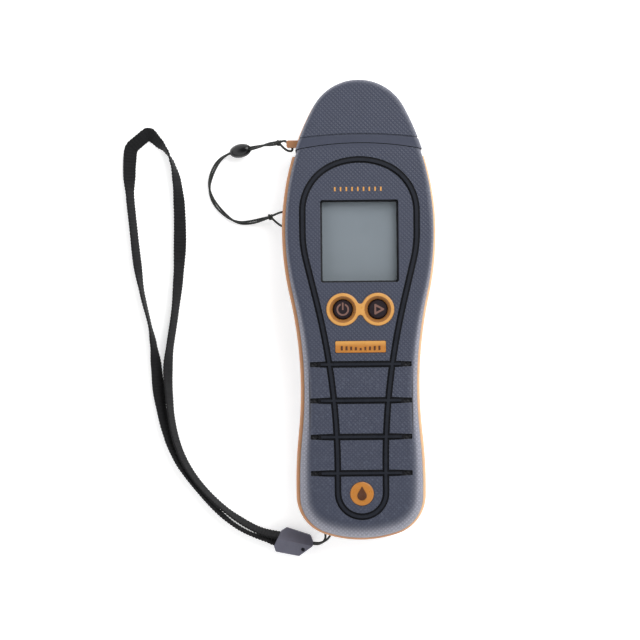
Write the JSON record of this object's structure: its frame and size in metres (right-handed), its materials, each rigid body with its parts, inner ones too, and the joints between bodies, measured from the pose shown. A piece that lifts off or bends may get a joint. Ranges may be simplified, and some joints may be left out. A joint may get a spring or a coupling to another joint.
{
  "type": "moisture meter",
  "caption": "Handheld pin moisture meter with a waisted two-shell case, amber side band, square display, two keys, pull-off pin cap on a tether and a wrist strap.",
  "frame": {"origin": "under the middle of the case, on the surface that its back lies on", "axes": "+Z out of the display face, +Y towards the electrode pins, +X to the right of a reader"},
  "size_m": [0.1207, 0.1862, 0.0284],
  "materials": {
    "case_grey": "fine moulded texture",
    "amber_rim": "satin overmoulding",
    "amber_trim": "satin moulded trim",
    "black_rubber": "matte",
    "key_black": "satin",
    "symbol_print": "printed",
    "badge_print": "printed",
    "clear_window": "clear",
    "lcd_grey": "reflective display glass",
    "white_plastic": "matte",
    "zebra": "layered",
    "board_green": "solder mask",
    "chip_black": "moulded",
    "plunger_white": "moulded",
    "head_black": "moulded",
    "brass": "turned",
    "pin_steel": "ground",
    "screw_steel": "zinc plated",
    "spring_steel": "nickel plated",
    "cell_wrap": "printed sleeve",
    "foam": "open cell foam",
    "tether_cord": "braided cord",
    "webbing": "woven webbing",
    "clasp_plastic": "satin",
    "bead_plastic": "gloss"
  },
  "bodies": {
    "case": {"front_cover": "case_grey", "rear_cover": "case_grey", "mid_band": "amber_rim", "button_bezel": "amber_trim", "badge_plate": "amber_trim", "disc_badge": "amber_trim", "grip_inlay": "black_rubber", "badge_ticks": "badge_print", "drop_symbol": "badge_print", "lcd_window": "clear_window", "lcd_glass": "lcd_grey", "lcd_backlight": "white_plastic", "zebra_strips": "zebra", "main_board": "board_green", "control_chip": "chip_black", "board_components": "chip_black", "buzzer": "chip_black", "power_switch": "chip_black", "mode_switch": "chip_black", "electrode_head": "head_black", "lcd_frame": "head_black", "pin_holder_left": "brass", "pin_holder_right": "brass", "pin_nut_left": "brass", "pin_nut_right": "brass", "electrode_pin_left": "pin_steel", "electrode_pin_right": "pin_steel", "case_screws": "screw_steel", "board_screws": "screw_steel", "contact_bridge": "spring_steel", "contact_positive": "spring_steel", "contact_negative": "spring_steel", "battery_cell_left": "cell_wrap", "battery_cell_right": "cell_wrap", "tether_cord": "tether_cord", "tether_case_loop": "tether_cord", "strap_loop_cord": "tether_cord", "strap_webbing": "webbing", "strap_clasp": "clasp_plastic"},
    "pin_cap": {"cap_shell": "case_grey", "cap_band": "amber_rim", "tether_cap_loop": "tether_cord"},
    "cord_bead": {"tether_bead": "bead_plastic"},
    "power_key": {"power_button": "key_black", "power_plunger": "plunger_white", "power_symbol": "symbol_print"},
    "mode_key": {"mode_button": "key_black", "mode_plunger": "plunger_white", "mode_symbol": "symbol_print"},
    "door": {"battery_door": "case_grey", "door_pad": "foam"}
  },
  "joints": [
    {"name": "pin_cap_slide", "type": "slide", "parent": "case", "child": "pin_cap", "axis": [0, 1, 0], "range_m": [0, 0.026], "deforming": ["tether_cord"]},
    {"name": "cord_bead_slide", "type": "slide", "parent": "pin_cap", "child": "cord_bead", "axis": [0.8954, 0.1522, 0.4184], "range_m": [0, 0.005]},
    {"name": "power_key_press", "type": "slide", "parent": "case", "child": "power_key", "axis": [0, 0, -1], "range_m": [0, 0.0007], "stiffness_N_per_m": 800},
    {"name": "mode_key_press", "type": "slide", "parent": "case", "child": "mode_key", "axis": [0, 0, -1], "range_m": [0, 0.0007], "stiffness_N_per_m": 800},
    {"name": "battery_door_hinge", "type": "hinge", "parent": "case", "child": "door", "pos_m": [0, -0.07, 0.0014], "axis": [-1, 0, 0], "range_deg": [0, 75]}
  ]
}
